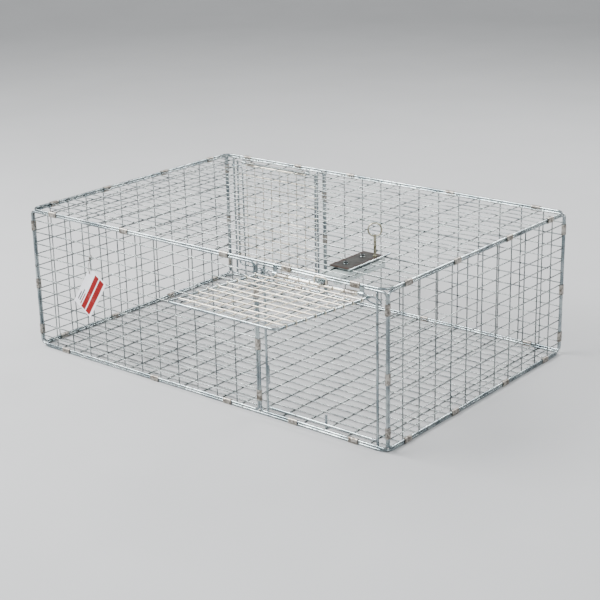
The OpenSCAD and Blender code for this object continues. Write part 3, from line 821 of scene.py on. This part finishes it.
def make_rivets():
    """Tubular rivets with rolled flanges and a flared lip, from the CAD solids' boxes."""
    shape = Shape()
    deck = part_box("latch_plate")[1].z
    for points in islands("latch_eyelets"):
        (x, y, low), (x2, y2, high) = points.min(0), points.max(0)
        parts = ((RIVET_FOOT, low), (RIVET_FLANGE, deck), (RIVET_LIP, high))
        outline = [(r * MM, level + z * MM) for part, level in parts for r, z in part]
        shape.lathe((x + x2) / 2, (y + y2) / 2, outline)
    rivets = shape.piece("latch_rivets", "zinc_rod", ["latch_eyelets"])
    rivets.data.materials[0] = FINISH["mesh_wire"]
    # The bore faces take the near-black material: painted shade in the hollow
    rivets.data.materials.append(BORE_PAINTED_SHADE)
    turn_faces = len(outline)
    for face in rivets.data.polygons:
        face.material_index = int(face.index % turn_faces >= turn_faces - BORE_FACES)


make_rivets()

# ---------------------------------------------------------------- tag


def card_outline():
    """Rows of points up the card, each row from its left to its right edge."""
    top = CARD_L / 2
    left_cut, right_cut = top - CARD_CUT_LEFT, top - CARD_CUT_RIGHT
    rows = []
    for y in [*np.linspace(-top, left_cut, 18), *np.linspace(left_cut, right_cut, 5)[1:],
              *np.linspace(right_cut, top, 3)[1:]]:
        left, right = -CARD_W / 2 + max(0.0, y - left_cut), CARD_W / 2 - max(0.0, y - right_cut)
        rows.append([(x, y) for x in np.linspace(left, right, 15)])
    return rows


def card_curl(x, y):
    """How far the card stands out of its plane at a place on it."""
    roll = 2.2 * MM * (0.5 - y / CARD_L) ** 2 + 1.6 * MM * (x / CARD_W) ** 2
    return roll + 0.35 * MM * math.sin(7 * x / CARD_W + 4 * y / CARD_L)


def make_card():
    """A slightly curled card with cut top corners and a punched hole, drawn in its own frame."""
    low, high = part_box("tag_card")
    right = Vector((math.cos(CARD_LEAN), 0, -math.sin(CARD_LEAN)))
    up = Vector((math.sin(CARD_LEAN), 0, math.cos(CARD_LEAN)))
    out = right.cross(up)
    reach = (right.x * CARD_W + up.x * CARD_L) / 2
    drop = (-right.z * CARD_W + up.z * CARD_L) / 2
    middle = Vector((low.x + reach, (low.y + high.y) / 2, low.z + drop))
    outline = card_outline()
    rows, columns = len(outline), len(outline[0])
    layer = rows * columns
    points = [(x, y, card_curl(x, y) + side * CARD_T / 2)
              for side in (1, -1) for row in outline for x, y in row]
    faces = []
    for i in range(rows - 1):
        for k in range(columns - 1):
            a = i * columns + k
            quad = [a, a + 1, a + columns + 1, a + columns]
            faces.append(quad)
            faces.append([q + layer for q in reversed(quad)])
    rim = list(range(columns))
    rim += [i * columns + columns - 1 for i in range(1, rows)]
    rim += [(rows - 1) * columns + k for k in range(columns - 2, -1, -1)]
    rim += [i * columns for i in range(rows - 2, 0, -1)]
    for a, b in zip(rim, rim[1:] + rim[:1]):
        faces.append([b, a, a + layer, b + layer])
    card = add_object("tag_card_printed", points, faces)
    punch = Shape()
    through = 9 * MM
    punch.sweep([(*CARD_HOLE, -through), (*CARD_HOLE, through)], CARD_HOLE_R, 24, dome=False)
    cutter = add_object("punch", np.vstack(punch.points), punch.faces)
    hole = card.modifiers.new("hole", "BOOLEAN")
    hole.object, hole.operation, hole.solver = cutter, "DIFFERENCE", "EXACT"
    ready = card.evaluated_get(bpy.context.evaluated_depsgraph_get())
    card.data = bpy.data.meshes.new_from_object(ready)
    card.modifiers.clear()
    bpy.data.objects.remove(cutter)
    smooth(card.data, 40)
    card.matrix_world = (Matrix.Translation(middle)
                         @ Matrix((right, up, out)).transposed().to_4x4())
    settle(card, "card", ["tag_card"])
    card.data.materials.append(CARD_BACK)
    for face in card.data.polygons:
        face.material_index = int(face.normal.z < 0)
    return middle + right * CARD_HOLE[0] + up * CARD_HOLE[1], out


def make_tie(hole, out):
    """The stiff wire tie: a loop round a mesh wire, a twist, two legs and a hook in the hole."""
    points = islands("tag_tie")[0]
    top = points[:, 2].max()
    x = points[points[:, 2] > top - 1 * MM][:, 0].mean()
    loop, loop_wire, wire, stand = 3.5 * MM, 0.6 * MM, 0.5 * MM, 1.6 * MM
    outer = loop + loop_wire
    centre = np.array([x, points[:, 1].max() - outer, top - outer])
    hole, out = np.array(hole), np.array(out)
    shape = Shape()
    shape.sweep([centre + loop * np.array([0, math.cos(a), math.sin(a)]) for a in circle(24)],
                loop_wire, closed=True)
    start = centre + np.array([0, -loop, -0.4 * MM])
    stop = hole + out * stand
    across = np.array([1.0, 0.0, 0.0])
    twisted, fade, turns, twist_r, belly = 0.22, 0.1, 9, 0.7 * MM, 3.0 * MM
    t = np.linspace(0, 1, 26)
    spin = t * 2 * math.pi * turns
    spread = np.sin(math.pi * np.clip((t - twisted) / (1 - twisted), 0, 1)) * belly
    twist = np.where(t < twisted, twist_r, twist_r * np.clip(1 - (t - twisted) / fade, 0, 1))
    for side in (-1, 1):
        leg = start + np.outer(t, stop - start)
        leg += np.outer(side * (spread + twist * np.cos(spin)), across)
        leg += np.outer(side * twist * np.sin(spin), out)
        shape.sweep(leg, wire, 7)
    hook = [hole + out * (stand * math.cos(a)) + np.array([0, 0, 2.2 * MM * math.sin(a)])
            + across * wire * a for a in np.linspace(-1.2, 2.4, 16)]
    shape.sweep(hook, wire, 7)
    shape.bead(stop, out, 1.5 * MM, 1.1 * MM, 10)
    shape.bead(start, np.array([0.2, 0.1, 1.0]), 1.6 * MM, 1.3 * MM, 10)
    tie = shape.piece("tag_wire_tie", "door_wire", ["tag_tie"])
    tie.data.materials[0] = TIE_FINISH


make_tie(*make_card())

# ---------------------------------------------------------------- floor and light


def make_floor():
    """A round pale floor that turns up into a low wall on every side."""
    flat, bend, wall, around = 5.0, 2.0, 2.6, 72
    rows = [(flat - 0.2, 0.0)]
    rows += [(flat + bend * math.sin(a), bend - bend * math.cos(a))
             for a in np.linspace(0, math.pi / 2, 14)]
    rows.append((flat + bend, wall))
    points = [(r * math.cos(a), r * math.sin(a), z) for r, z in rows for a in circle(around)]
    faces = [tuple(range(around))]
    for i in range(len(rows) - 1):
        low, high = i * around, (i + 1) * around
        for k in range(around):
            m = (k + 1) % around
            faces.append((low + m, low + k, high + k, high + m))
    floor = add_object("studio_floor", points, faces)
    floor.data.polygons.foreach_set("use_smooth", [True] * len(faces))
    p = Paint("studio_floor")
    p.shader.inputs["Roughness"].default_value = 0.85
    p.colour(p.mix(p.noise(3.0, 2.0), (0.37, 0.375, 0.38), (0.41, 0.415, 0.42)))
    floor.data.materials.append(p.material)


def area_light(name, place, target, size, power, colour=(1.0, 1.0, 1.0)):
    """A rectangular lamp at a place, turned towards its target."""
    data = bpy.data.lights.new(name, "AREA")
    data.shape, data.size, data.size_y = "RECTANGLE", *size
    data.energy, data.color = power, colour
    lamp = bpy.data.objects.new(name, data)
    lamp.location = place
    lamp.rotation_mode = "QUATERNION"
    lamp.rotation_quaternion = (Vector(target) - Vector(place)).to_track_quat("-Z", "Y")
    bpy.context.scene.collection.objects.link(lamp)


def make_world():
    """A soft white room: bright overhead, dim at eye level and below."""
    world = bpy.data.worlds.new("studio")
    world.use_nodes = True
    tree = world.node_tree
    place = tree.nodes.new("ShaderNodeTexCoord").outputs["Generated"]
    split = tree.nodes.new("ShaderNodeSeparateXYZ")
    tree.links.new(place, split.inputs[0])
    ramp = tree.nodes.new("ShaderNodeValToRGB")
    # Brightness at heights from straight down, 0, to straight up, 1
    levels = ((0.0, 0.06), (0.50, 0.09), (0.62, 0.42), (0.80, 1.0))
    stops = ramp.color_ramp.elements
    stops.remove(stops[1])
    for i, (at, level) in enumerate(levels):
        stop = stops.new(at) if i else stops[0]
        stop.position = at
        stop.color = (level * 0.97, level * 0.985, level, 1.0)
    shift = tree.nodes.new("ShaderNodeMapRange")
    for i, v in enumerate((-1.0, 1.0, 0.0, 1.0), 1):
        shift.inputs[i].default_value = v
    tree.links.new(split.outputs[2], shift.inputs[0])
    tree.links.new(shift.outputs[0], ramp.inputs[0])
    background = tree.nodes["Background"]
    tree.links.new(ramp.outputs[0], background.inputs["Color"])
    background.inputs["Strength"].default_value = 1.0
    bpy.context.scene.world = world


make_floor()
make_world()
CAGE_MIDDLE = (0.0, 0.0, 0.15)
area_light("key", (-1.75, -1.55, 2.65), CAGE_MIDDLE, (2.6, 1.2), 340.0)
area_light("fill", (2.6, -1.0, 1.5), CAGE_MIDDLE, (1.2, 1.2), 30.0, (0.93, 0.97, 1.0))
area_light("rim", (0.4, 2.4, 2.2), (0.0, 0.0, 0.2), (2.0, 0.6), 90.0)
